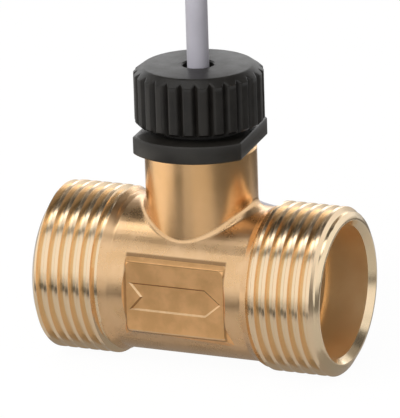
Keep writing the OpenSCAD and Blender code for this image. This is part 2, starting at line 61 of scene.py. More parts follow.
class Socket:
    """A shader socket that takes part in sums and products."""

    def __init__(self, book: "NodeBook", link: bpy.types.NodeSocket) -> None:
        """Keeps the socket and the book that holds its nodes."""
        self.book = book
        self.link = link

    def _sum(self, operation: str, first: object, second: object) -> "Socket":
        """Adds one Math node.

        Args:
            operation: the Math node's operation.
            first: its first value or socket.
            second: its second value or socket.

        Returns:
            The node's result.
        """
        return self.book.node(
            "ShaderNodeMath", {"operation": operation}, {0: first, 1: second}
        )

    def __add__(self, other: object) -> "Socket":
        """self + other"""
        return self._sum("ADD", self, other)

    def __radd__(self, other: object) -> "Socket":
        """other + self"""
        return self._sum("ADD", other, self)

    def __sub__(self, other: object) -> "Socket":
        """self - other"""
        return self._sum("SUBTRACT", self, other)

    def __rsub__(self, other: object) -> "Socket":
        """other - self"""
        return self._sum("SUBTRACT", other, self)

    def __mul__(self, other: object) -> "Socket":
        """self * other"""
        return self._sum("MULTIPLY", self, other)

    def __rmul__(self, other: object) -> "Socket":
        """other * self"""
        return self._sum("MULTIPLY", other, self)

    def __truediv__(self, other: object) -> "Socket":
        """self / other"""
        return self._sum("DIVIDE", self, other)

    def __rtruediv__(self, other: object) -> "Socket":
        """other / self"""
        return self._sum("DIVIDE", other, self)

    def highest(self, other: object) -> "Socket":
        """The larger of two values."""
        return self._sum("MAXIMUM", self, other)

    def wave(self) -> "Socket":
        """The sine of the value."""
        return self._sum("SINE", self, 0.0)


class NodeBook:
    """The nodes of one material or of the world."""

    def __init__(self, tree: bpy.types.NodeTree) -> None:
        """Starts with an empty tree."""
        tree.nodes.clear()
        self.tree = tree

    def node(
        self,
        kind: str,
        settings: Mapping[str, object] | None = None,
        inputs: Mapping[object, object] | None = None,
        out: object = 0,
    ) -> Socket:
        """Makes one node.

        Args:
            kind: the node's type.
            settings: its own settings.
            inputs: the value or link of each socket, by name or number.
            out: the output that is wanted.

        Returns:
            That output, wrapped.
        """
        made = self.tree.nodes.new(kind)
        for name, value in (settings or {}).items():
            setattr(made, name, value)
        for name, value in (inputs or {}).items():
            target = made.inputs[name]
            if isinstance(value, Socket):
                self.tree.links.new(value.link, target)
            else:
                target.default_value = value
        return Socket(self, made.outputs[out] if made.outputs else None)

    def place(self) -> Socket:
        """The point on the piece, in millimetres."""
        point = self.node("ShaderNodeTexCoord", out="Object")
        return self.node(
            "ShaderNodeVectorMath",
            {"operation": "SCALE"},
            {0: point, "Scale": 1.0 / MM},
        )

    def stretched(self, point: Socket, lay: Lay) -> Socket:
        """The point drawn out along the marks that the making left."""
        return self.node(
            "ShaderNodeVectorMath", {"operation": "MULTIPLY"}, {0: point, 1: lay.value}
        )

    def noise(self, point: Socket, scale: float, detail: float = 3.0) -> Socket:
        """Soft noise, with scale as its number of cells in a millimetre."""
        return self.node(
            "ShaderNodeTexNoise",
            {"noise_dimensions": "3D"},
            {"Vector": point, "Scale": scale, "Detail": detail, "Roughness": 0.55},
        )

    def mix(self, share: object, low: object, high: object) -> Socket:
        """A colour between two colours."""
        names = [
            (name, (*value, 1.0) if isinstance(value, tuple) else value)
            for name, value in ((6, low), (7, high))
        ]
        return self.node(
            "ShaderNodeMix", {"data_type": "RGBA"}, {0: share, **dict(names)}, out=2
        )

    def ramp(self, value: Socket, low: float, high: float) -> Socket:
        """0 at low and 1 at high, with soft ends."""
        return self.node(
            "ShaderNodeMapRange",
            {"interpolation_type": "SMOOTHSTEP"},
            {"Value": value, "From Min": low, "From Max": high},
        )

    def band(self, value: Socket, band: Band) -> Socket:
        """1 between the band's two soft steps, and 0 on either side."""
        rise, fall = band
        return self.ramp(value, *rise) * (1.0 - self.ramp(value, *fall))


@dataclass(frozen=True)
class Finish:
    """A finish with two tints, uneven gloss and a fine grain.

    The tints are linear colours. The mottle and the grain are in cells in a
    millimetre, and the grain's depth is in millimetres.
    """

    name: str
    tint: Point
    shade: Point
    roughness: float
    metallic: float = 0.0
    mottle: float = 0.5
    uneven: float = 0.06
    grain: float = 6.0
    depth: float = 0.004
    lay: Lay = Lay.EVEN
    coat: float = 0.0
    sheen: float = 0.0
    ior: float = 1.5

    def tinted(self, book: NodeBook, point: Socket, patches: Socket) -> Socket:
        """The colour over the surface."""
        return book.mix(book.ramp(patches, 0.32, 0.68), self.shade, self.tint)

    def make(self) -> bpy.types.Material:
        """Builds the material once.

        Returns:
            The material of this name.
        """
        known = bpy.data.materials.get(self.name)
        if known:
            return known
        material = bpy.data.materials.new(self.name)
        material.use_nodes = True
        book = NodeBook(material.node_tree)
        point = book.place()
        patches = book.noise(point, self.mottle)
        marks = book.noise(book.stretched(point, self.lay), self.grain)
        spread = (patches - 0.5) * (2.0 * self.uneven) + (marks - 0.5) * self.uneven
        relief = {"Strength": 1.0, "Distance": self.depth * MM, "Height": marks}
        bump = book.node("ShaderNodeBump", None, relief)
        surface = book.node(
            "ShaderNodeBsdfPrincipled",
            None,
            {
                "Base Color": self.tinted(book, point, patches),
                "Roughness": spread + self.roughness,
                "Metallic": self.metallic,
                "IOR": self.ior,
                "Coat Weight": self.coat,
                "Coat Roughness": 0.2,
                "Sheen Weight": self.sheen,
                "Normal": bump,
            },
        )
        book.node("ShaderNodeOutputMaterial", None, {"Surface": surface})
        material.diffuse_color = (*self.tint, 1.0)
        return material


@dataclass(frozen=True)
class ThreadBrass(Finish):
    """Brass with painted shade in the roots of a thread, which are darker than its
    crests.
    """

    root_r: float = 15.2
    crest_r: float = 16.4

    def tinted(self, book: NodeBook, point: Socket, patches: Socket) -> Socket:
        """The colour over the surface."""
        parts = [
            book.node("ShaderNodeSeparateXYZ", None, {0: point}, out=axis)
            for axis in (1, 2)
        ]
        across = parts[0] * parts[0] + parts[1] * parts[1]
        height = book.ramp(across, self.root_r**2, self.crest_r**2)
        # Painted shade in the thread's roots, eased out towards the crests.
        painted_root_shade = book.mix(patches, self.shade, self.tint)
        return book.mix(height * 0.8, painted_root_shade, self.tint)


@dataclass(frozen=True)
class CastBrass(Finish):
    """Cast brass with painted shade round the flat pad and a painted highlight on its
    worn lower edge.

    The bands are millimetres beyond the pad's upper, lower and side borders.
    """

    middle: Pair = (30.5, -0.5)
    half: Pair = (10.35, 6.95)
    # The first tint is painted shade for the bands over, under and beside the pad; the
    # second is a painted highlight with wear for its lower edge.
    painted_shade_tint: Point = (0.2, 0.105, 0.04)
    worn_highlight_tint: Point = (0.92, 0.68, 0.42)
    # Bands of painted shade in the corner, on the flank and along the edge over the pad
    # and under its lower edge, then the painted highlight on that edge and the painted
    # shade at its sides.
    corner: Band = ((0.76, 0.88), (1.3, 1.65))
    flank_shade: Band = ((0.1, 0.2), (0.76, 0.9))
    edge: Band = ((-0.14, -0.02), (0.04, 0.14))
    foot: Band = ((0.2, 0.4), (0.5, 0.8))
    worn_edge_highlight: Band = ((-0.2, -0.06), (0.06, 0.2))
    side_shade: Band = ((-0.1, 0.05), (0.2, 0.45))

    def tinted(self, book: NodeBook, point: Socket, patches: Socket) -> Socket:
        """The colour over the surface."""
        x, z = (
            book.node("ShaderNodeSeparateXYZ", None, {0: point}, out=axis) - middle
            for axis, middle in zip((0, 2), self.middle)
        )
        side = x.highest(x * -1.0) - self.half[0]
        above = z - self.half[1]
        below = z * -1.0 - self.half[1]
        plain = book.mix(book.ramp(patches, 0.32, 0.68), self.shade, self.tint)
        inside = 1.0 - book.ramp(side, 0.0, 0.5)
        # Painted shade in a thin line at the pad's left and right borders.
        side_shade = book.band(side, self.side_shade)
        side_shade = side_shade * (1.0 - book.ramp(above.highest(below), 0.2, 0.6))
        # Painted highlight with wear along the pad's lower edge.
        worn_edge_highlight = book.band(below, self.worn_edge_highlight)
        with_worn_highlight = book.mix(worn_edge_highlight * inside * 0.7, plain, self.worn_highlight_tint)
        # Painted shade in the corner, on the flank and along the edge over the pad, and
        # under it.
        marks = 0.0
        for value, band, strength in (
            (above, self.corner, 0.8), (above, self.flank_shade, 0.4), (above, self.edge, 0.6),
            (below, self.foot, 0.6),
        ):
            marks = (book.band(value, band) * strength).highest(marks)
        marks = (marks * inside).highest(side_shade * 0.6)
        return book.mix(marks, with_worn_highlight, self.painted_shade_tint)


@dataclass(frozen=True)
class BoardFinish(Finish):
    """Solder mask with thin lighter tracks along the board."""

    track: Point = (0.05, 0.24, 0.09)

    def tinted(self, book: NodeBook, point: Socket, patches: Socket) -> Socket:
        """The colour over the surface."""
        across = book.node("ShaderNodeSeparateXYZ", None, {0: point}, out=0)
        lines = book.ramp((across * 4.2).wave(), 0.75, 0.9)
        return book.mix(lines, self.tint, self.track)


CAST = CastBrass(
    "cast_brass", (0.85, 0.56, 0.31), (0.77, 0.49, 0.25), roughness=0.28, metallic=1.0,
    mottle=0.22, uneven=0.07, grain=1.1, depth=0.0005, coat=0.2,
)
PAD = CastBrass(
    "pad_brass", (0.98, 0.57, 0.26), (0.86, 0.49, 0.21), roughness=0.4, metallic=1.0,
    mottle=0.3, uneven=0.08, grain=2.4, depth=0.03,
)
# Painted shade for the sunk arrow's walls that face down.
PAINTED_SHADE_WALL = Finish(
    "painted_shade_brass", (0.44, 0.25, 0.11), (0.36, 0.2, 0.085), roughness=0.45,
    metallic=1.0, mottle=0.6, grain=4.0,
)
# Painted highlight for the sunk arrow's walls that face up.
PAINTED_HIGHLIGHT_WALL = Finish(
    "painted_highlight_brass", (0.9, 0.62, 0.35), (0.82, 0.55, 0.3), roughness=0.38, metallic=1.0,
    mottle=0.6, grain=4.0,
)
NECK = Finish(
    "turned_brass", (0.8, 0.5, 0.25), (0.73, 0.45, 0.21), roughness=0.25, metallic=1.0,
    mottle=0.12, uneven=0.05, grain=5.0, depth=0.006, lay=Lay.ROUND_NECK, coat=0.2,
)
THREAD = ThreadBrass(
    "thread_brass", (0.93, 0.7, 0.46), (0.84, 0.7, 0.47), roughness=0.22, metallic=1.0,
    mottle=0.2, grain=4.0, depth=0.006, lay=Lay.ROUND_PIPE, coat=0.2,
)
BORE = Finish(
    "bored_brass", (1.0, 0.75, 0.45), (0.95, 0.68, 0.38), roughness=0.48, metallic=1.0,
    mottle=0.15, grain=3.0, depth=0.008, lay=Lay.ROUND_PIPE, coat=0.2,
)
STEEL = Finish(
    "ring_steel", (0.52, 0.53, 0.55), (0.4, 0.41, 0.43), roughness=0.3, metallic=1.0,
    mottle=0.6, uneven=0.08, grain=8.0, depth=0.003, lay=Lay.ROUND_PIPE,
)
WHITE = Finish(
    "white_moulding", (0.78, 0.77, 0.72), (0.7, 0.69, 0.64), roughness=0.42,
    mottle=0.15, grain=9.0,
)
RUBBER = Finish(
    "black_seal_rubber", (0.022, 0.022, 0.023), (0.014, 0.014, 0.015), roughness=0.7,
    mottle=0.8, uneven=0.1, depth=0.01,
)
IVORY = Finish(
    "bush_plastic", (0.66, 0.56, 0.38), (0.58, 0.48, 0.31), roughness=0.38, mottle=0.4,
    grain=9.0, depth=0.003,
)
BLUE = Finish(
    "rotor_moulding", (0.1, 0.22, 0.38), (0.075, 0.17, 0.31), roughness=0.38,
    mottle=0.2, grain=8.0,
)
MAGNET = Finish(
    "magnet_ceramic", (0.075, 0.073, 0.072), (0.045, 0.044, 0.045), roughness=0.5,
    metallic=0.4, mottle=1.4, uneven=0.1, grain=9.0, depth=0.006,
)
FLANGE = Finish(
    "flange_plastic", (0.02, 0.018, 0.015), (0.014, 0.0125, 0.0105), roughness=0.36,
    mottle=0.18, grain=3.2, depth=0.012, ior=1.45,
)
CAP = Finish(
    "ribbed_plastic", (0.011, 0.0095, 0.0078), (0.006, 0.0052, 0.0043), roughness=0.4,
    mottle=0.3, uneven=0.1, grain=2.6, depth=0.02, ior=1.45,
)
CHIP = Finish(
    "chip_resin", (0.02, 0.02, 0.021), (0.013, 0.013, 0.014), roughness=0.5, mottle=1.2,
    uneven=0.08, grain=12.0,
)
BOARD = BoardFinish(
    "printed_board", (0.02, 0.14, 0.05), (0.02, 0.12, 0.045), roughness=0.3,
    uneven=0.05, grain=8.0, depth=0.003,
)
JACKET = Finish(
    "cable_jacket", (0.5, 0.485, 0.535), (0.44, 0.425, 0.475), roughness=0.42,
    mottle=0.12, grain=3.0, depth=0.006, sheen=0.1,
)
RED = Finish(
    "red_sleeve", (0.5, 0.03, 0.02), (0.4, 0.02, 0.015), roughness=0.35,
)
BLACK = Finish(
    "black_sleeve", (0.02, 0.02, 0.022), (0.013, 0.013, 0.015), roughness=0.35,
)
YELLOW = Finish(
    "yellow_sleeve", (0.7, 0.45, 0.03), (0.6, 0.37, 0.02), roughness=0.35,
)
TIN = Finish(
    "tinned_copper", (0.66, 0.65, 0.62), (0.52, 0.51, 0.48), roughness=0.28,
    metallic=1.0, mottle=1.2, uneven=0.08, grain=9.0, depth=0.006,
)
STRAP = Finish(
    "strap_weave", (0.045, 0.045, 0.048), (0.025, 0.025, 0.027), roughness=0.75,
    mottle=0.8, uneven=0.08, grain=5.0, depth=0.03, sheen=0.3,
)


def placed(name: str, data: bpy.types.ID) -> bpy.types.Object:
    """A new object in the scene, which holds the data."""
    made = bpy.data.objects.new(name, data)
    bpy.context.scene.collection.objects.link(made)
    return made


def verts_in(geom: Iterable[object]) -> list[bmesh.types.BMVert]:
    """The points among what a bmesh operator made."""
    return [g for g in geom if isinstance(g, bmesh.types.BMVert)]


class Shape:
    """A mesh in the making, in millimetres."""

    def __init__(self) -> None:
        """Starts empty."""
        self.bm = bmesh.new()

    def outline(self, points: Iterable[Point], closed: bool) -> list[bmesh.types.BMEdge]:
        """A line of edges through the points.

        Args:
            points: the corners, in order.
            closed: whether the last corner joins the first.

        Returns:
            The new edges.
        """
        verts = [self.bm.verts.new(p) for p in points]
        ends = zip(verts, verts[1:] + verts[:1] if closed else verts[1:])
        return [self.bm.edges.new(pair) for pair in ends]

    def spun(
        self,
        edges: Sequence[bmesh.types.BMEdge],
        centre: Point,
        axis: Point,
        steps: int,
        pitch: float = 0.0,
    ) -> None:
        """Turns a line of edges once about an axis, with a pitch for a screw.

        Args:
            edges: the line.
            centre: a point on the axis.
            axis: its direction.
            steps: steps in the turn.
            pitch: advance along the axis in the turn.
        """
        verts = list({v for e in edges for v in e.verts})
        step = Vector(axis) * (pitch / steps)
        bmesh.ops.spin(
            self.bm,
            geom=[*verts, *edges],
            cent=centre,
            axis=axis,
            dvec=step,
            angle=2.0 * math.pi,
            steps=steps,
            use_merge=pitch == 0.0,
            use_duplicate=False,
        )

    def lathe(self, profile: Sequence[Pair], x: float, steps: int = 96) -> None:
        """A closed profile of radius and height turned about the neck's axis."""
        edges = self.outline([(x + r, 0.0, z) for r, z in profile], True)
        self.spun(edges, (x, 0.0, 0.0), (0.0, 0.0, 1.0), steps)

    def open_edges(self, test: Callable[[Vector], bool]) -> list[bmesh.types.BMEdge]:
        """The open edges whose two ends pass the test."""
        return [
            e for e in self.bm.edges if e.is_boundary and all(test(v.co) for v in e.verts)
        ]

    def grown(
        self, edges: Sequence[bmesh.types.BMEdge], move: Callable[[Vector], Vector]
    ) -> list[bmesh.types.BMEdge]:
        """Extrudes open edges and moves each new point.

        Args:
            edges: the open edges.
            move: the new place of a point.

        Returns:
            The new open edges.
        """
        made = bmesh.ops.extrude_edge_only(self.bm, edges=list(edges))["geom"]
        tips = set(verts_in(made))
        for vert in tips:
            vert.co = move(vert.co)
        fresh = [g for g in made if isinstance(g, bmesh.types.BMEdge)]
        return [e for e in fresh if tips.issuperset(e.verts)]

    def cut(self, point: Point, normal: Point) -> None:
        """Takes away what lies on the side of a plane that its normal points to."""
        bmesh.ops.bisect_plane(
            self.bm,
            geom=[*self.bm.verts, *self.bm.edges, *self.bm.faces],
            dist=1e-5,
            plane_co=point,
            plane_no=normal,
            clear_outer=True,
        )

    def shift(self, by: Point, verts: Iterable[bmesh.types.BMVert] | None = None) -> None:
        """Moves the given points, or all of them."""
        moved = list(self.bm.verts if verts is None else verts)
        bmesh.ops.translate(self.bm, vec=by, verts=moved)

    def merged(self, gap: float = 1e-3) -> None:
        """Joins points that lie on each other."""
        bmesh.ops.remove_doubles(self.bm, verts=self.bm.verts, dist=gap)
        bmesh.ops.dissolve_degenerate(self.bm, edges=self.bm.edges, dist=gap)

    def add(self, other: "Shape") -> None:
        """Takes in another shape, which is used up."""
        spare = bpy.data.meshes.new("spare")
        other.bm.to_mesh(spare)
        other.bm.free()
        self.bm.from_mesh(spare)
        bpy.data.meshes.remove(spare)

    def finished(
        self,
        name: str,
        finishes: Sequence[Finish],
        pick: Callable[[Vector, Vector], int] | None = None,
        crease: float = 32.0,
    ) -> bpy.types.Object:
        """Makes the object.

        Args:
            name: the piece's name.
            finishes: its finishes.
            pick: the number of the finish for a face's middle and normal.
            crease: the angle from which an edge is sharp, in degrees.

        Returns:
            The object, at the origin, in metres.
        """
        bmesh.ops.recalc_face_normals(self.bm, faces=self.bm.faces)
        limit = math.radians(crease)
        for edge in self.bm.edges:
            edge.smooth = len(edge.link_faces) == 2 and edge.calc_face_angle() < limit
        for face in self.bm.faces:
            face.smooth = True
            if pick:
                face.material_index = pick(face.calc_center_median(), face.normal)
        bmesh.ops.scale(self.bm, vec=(MM, MM, MM), verts=self.bm.verts)
        mesh = bpy.data.meshes.new(name)
        self.bm.to_mesh(mesh)
        self.bm.free()
        for finish in finishes:
            mesh.materials.append(finish.make())
        made = placed(name, mesh)
        log.info("%s: %d faces", name, len(mesh.polygons))
        return made


def smooth_step(share: float) -> float:
    """0 to 1 with soft ends."""
    share = min(1.0, max(0.0, share))
    return share * share * (3.0 - 2.0 * share)


def about_pipe(point: Vector) -> Pair:
    """A point's radius and angle about the pipe's axis."""
    return math.hypot(point.y, point.z), math.atan2(point.z, point.y)


def on_pipe(x: float, radius: float, angle: float) -> Vector:
    """The point at a station, radius and angle on the pipe."""
    return Vector((x, radius * math.cos(angle), radius * math.sin(angle)))


@dataclass
class ThreadedEnd:
    """One end of the tee: a parallel pipe thread, its face and its bore."""

    face_x: float
    inward: int
    crest_x: float
    bore_steps: tuple[Pair, ...]
    pitch: float = 2.309
    crest_r: float = 16.62
    root_r: float = 15.5
    tube_r: float = 15.2
    face_r: float = 14.6
    lead: float = 1.25
    full: float = 14.1
    runout: float = 2.3
    length: float = 16.9
    soft_share: float = 0.2
    soft_rate: float = 8.0
    turns: int = 10
    steps: int = 144

    def tooth(self) -> list[Pair]:
        """One pitch of the thread, as shares of the pitch and of the height."""
        half = [
            (0.0, 1.0), (0.13, 1.0), (0.16, 0.96), (0.18, 0.86), (0.24, 0.57),
            (0.3, 0.28), (0.345, 0.06), (0.38, 0.0),
        ]
        left = [(-place, height) for place, height in reversed(half[1:])]
        return [(-0.5, 0.0), *left, *half, (0.5, 0.0)]

    def limit(self, depth: float) -> float:
        """The largest radius at a depth behind the face."""
        step = self.crest_r - self.face_r
        lead = self.face_r + step * depth / self.lead
        fall = (depth - self.full) / self.runout
        soft = self.soft_share * smooth_step(self.soft_rate * fall)
        ease = (1.0 - self.soft_share) * fall + soft
        end = self.crest_r - (self.crest_r - self.tube_r) * min(1.0, max(0.0, ease))
        return min(lead, end)

    def build(self, shape: Shape) -> None:
        """Adds the end to the tee's mesh."""
        piece = Shape()
        middle = self.face_x + self.inward * self.length / 2.0
        first = self.crest_x + self.pitch * round((middle - self.crest_x) / self.pitch)
        first -= self.pitch * self.turns / 2.0
        height = self.crest_r - self.root_r
        edges = piece.outline(
            [
                (first + place * self.pitch, -self.root_r - share * height, 0.0)
                for place, share in self.tooth()
            ],
            False,
        )
        piece.spun(edges, (0.0, 0.0, 0.0), (1.0, 0.0, 0.0), self.steps, self.pitch)
        one = [*piece.bm.verts, *piece.bm.edges, *piece.bm.faces]
        for turn in range(1, self.turns):
            more = bmesh.ops.duplicate(piece.bm, geom=one)["geom"]
            piece.shift((turn * self.pitch, 0.0, 0.0), verts_in(more))
        piece.merged()
        for vert in piece.bm.verts:
            radius, angle = about_pipe(vert.co)
            depth = (vert.co.x - self.face_x) * self.inward
            if depth > self.full + self.runout:
                radius = self.tube_r
            vert.co = on_pipe(vert.co.x, min(radius, self.limit(depth)), angle)
        piece.cut((self.face_x, 0.0, 0.0), (-self.inward, 0.0, 0.0))
        end = self.face_x + self.inward * self.length
        piece.cut((end, 0.0, 0.0), (self.inward, 0.0, 0.0))
        rim = piece.open_edges(lambda p: abs(p.x - self.face_x) < 1e-3)
        for depth, radius in self.bore_steps:
            x = self.face_x + self.inward * depth
            rim = piece.grown(rim, lambda p: on_pipe(x, radius, about_pipe(p)[1]))
        shape.add(piece)


class Zone(IntEnum):
    """The parts of the tee's surface, numbered as its finishes are."""

    CAST = 0
    NECK = 1
    THREAD = 2
    BORE = 3
    PAD = 4
    # Painted shade and painted highlight on the arrow's walls.
    PAINTED_SHADE_WALL = 5
    PAINTED_HIGHLIGHT_WALL = 6


@dataclass
class BrassTee:
    """The brass tee: its cast middle, the fillet under the neck and two threads."""

    length: float = 61.0
    neck_x: float = 30.5
    neck_r: float = 11.0
    tube_r: float = 15.2
    bore_r: float = 13.1
    fillet_r: float = 1.9
    fillet_side: float = 0.55
    fillet_rows: int = 9
    neck_foot: float = 14.2
    thread_end: float = 14.4
    cut_x: float = 17.0
    pad_half: Pair = (10.35, 6.95)
    pad_z: float = -0.5
    pad_y: float = -14.4
    arrow_floor: float = -14.1
    arrow_half: Pair = (9.8, 2.8)
    arrow_tips: Pair = (3.4, 2.4)
    arrow_slope: float = 0.34
    crests: Pair = (3.71, 47.86)
    inlet_bore: tuple[Pair, ...] = (
        (0.0, 14.1), (1.3, 13.1), (11.0, 13.1), (11.0, 13.7), (12.1, 13.7), (12.1, 13.1),
        (16.9, 13.1),
    )
    outlet_bore: tuple[Pair, ...] = (
        (0.0, 14.1), (1.3, 13.1), (10.0, 13.1), (10.0, 12.2), (14.0, 12.2), (14.0, 13.1),
        (16.9, 13.1),
    )

    def middle(self, shape: Shape) -> None:
        """Takes the middle of the tee from the CAD solid."""
        shape.bm.from_mesh(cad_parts["tee_body"].data)
        bmesh.ops.scale(shape.bm, vec=(1 / MM, 1 / MM, 1 / MM), verts=shape.bm.verts)
        shape.merged()
        shape.cut((self.cut_x, 0.0, 0.0), (-1.0, 0.0, 0.0))
        shape.cut((self.length - self.cut_x, 0.0, 0.0), (1.0, 0.0, 0.0))

    def slope_arrow(self, shape: Shape) -> None:
        """Gives the sunk arrow the sloping walls of a casting."""
        half, tall = self.arrow_half
        tip, notch = self.arrow_tips
        corners = [
            Vector(c)
            for c in ((-half, -tall), (half - tip, -tall), (half, 0.0),
                      (half - tip, tall), (-half, tall), (notch - half, 0.0))
        ]
        centre = Vector((self.neck_x, self.pad_z))
        moves = []
        around = zip(corners[-1:] + corners, corners, corners[1:] + corners)
        for before, here, after in around:
            first, second = (here - before).normalized(), (after - here).normalized()
            inner = [Vector((-way.y, way.x)) for way in (first, second)]
            lean = (inner[0] + inner[1]).normalized()
            moves.append((here + centre, lean * (self.arrow_slope / lean.dot(inner[0]))))
        for vert in shape.bm.verts:
            if abs(vert.co.y - self.arrow_floor) > 1e-3:
                continue
            for place, move in moves:
                if (Vector((vert.co.x, vert.co.z)) - place).length < 0.02:
                    vert.co += Vector((move.x, 0.0, move.y))
                    break

    def joined(self, shape: Shape) -> None:
        """Closes the seams between the middle and the two ends."""
        for seam in (self.cut_x, self.length - self.cut_x):
            for low, high in ((14.0, 16.0), (12.0, 14.0)):
                loop = shape.open_edges(
                    lambda p: abs(p.x - seam) < 0.2 and low < about_pipe(p)[0] < high
                )
                bmesh.ops.bridge_loops(shape.bm, edges=loop)

    def fillet(self, shape: Shape) -> None:
        """Adds the rounded corner between the neck and the tube."""
        ring = bmesh.ops.create_circle(
            shape.bm, segments=160, radius=self.neck_r
        )["verts"]
        first = list({e for v in ring for e in v.link_edges})
        rows = self.fillet_rows
        stations = [(row / rows, 0.0) for row in range(rows + 1)]
        stations += [(1.0, 0.5), (0.5, 1.6), (0.0, 0.5)]

        def place(angle: float, share: float, under: float) -> Vector:
            front = (1.0 - self.fillet_side) * math.cos(angle) ** 2
            fillet_r = self.fillet_r * (self.fillet_side + front)
            reach = self.neck_r + fillet_r
            side = reach * math.sin(angle)
            height = math.sqrt((self.tube_r + fillet_r) ** 2 - side**2)
            centre = Vector((reach * math.cos(angle), side, height))
            to_neck = Vector((-math.cos(angle), -math.sin(angle), 0.0))
            to_tube = Vector((0.0, -centre.y, -centre.z)).normalized()
            way = to_neck.slerp(to_tube, share)
            return centre + way * (fillet_r + under) + Vector((self.neck_x, 0, 0))

        for vert in ring:
            angle = math.atan2(vert.co.y, vert.co.x)
            vert.co = Vector((0.0, 0.0, angle))
        loops = [first]
        for _ in stations[1:]:
            loops.append(shape.grown(loops[-1], lambda p: Vector(p)))
        for edges, (share, under) in zip(loops, stations):
            for vert in {v for e in edges for v in e.verts}:
                vert.co = place(vert.co.z, share, under)
        bmesh.ops.bridge_loops(shape.bm, edges=[*loops[0], *loops[-1]])

    def zone_of(self, middle: Vector, normal: Vector) -> Zone:
        """The zone of a face, from its middle and its normal."""
        radius, _ = about_pipe(middle)
        depth = min(middle.x, self.length - middle.x)
        if radius < self.bore_r + 0.2 and middle.z < self.neck_foot - 0.2:
            return Zone.BORE
        if depth < self.thread_end:
            return Zone.THREAD
        if math.hypot(middle.x - self.neck_x, middle.y) < self.neck_r + 0.1:
            if middle.z > self.neck_foot:
                return Zone.NECK
        side = abs(middle.x - self.neck_x) - self.pad_half[0]
        over = abs(middle.z - self.pad_z) - self.pad_half[1]
        if middle.y < -10.0 and side < 0.75 and over < 1.1:
            if side < -0.5 and over < -4.0 and abs(normal.z) > 0.25:
                # The arrow's walls that face down get painted shade, and those that face
                # up a painted highlight.
                if self.pad_y < middle.y < self.arrow_floor:
                    return Zone.PAINTED_SHADE_WALL if normal.z < 0.0 else Zone.PAINTED_HIGHLIGHT_WALL
            if abs(radius - self.tube_r) > 0.02 or side < 0.0 and over < 0.0:
                return Zone.PAD
        return Zone.CAST

    def build(self) -> None:
        """Builds the tee, which stands for the CAD solid."""
        shape = Shape()
        self.middle(shape)
        self.slope_arrow(shape)
        inlet, outlet = self.crests
        ThreadedEnd(0.0, 1, inlet, self.inlet_bore).build(shape)
        ThreadedEnd(self.length, -1, outlet, self.outlet_bore).build(shape)
        self.joined(shape)
        self.fillet(shape)
        made = shape.finished(
            "brass_tee", (CAST, NECK, THREAD, BORE, PAD, PAINTED_SHADE_WALL, PAINTED_HIGHLIGHT_WALL), self.zone_of
        )
        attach(made, "sensor")
        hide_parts("tee_body")


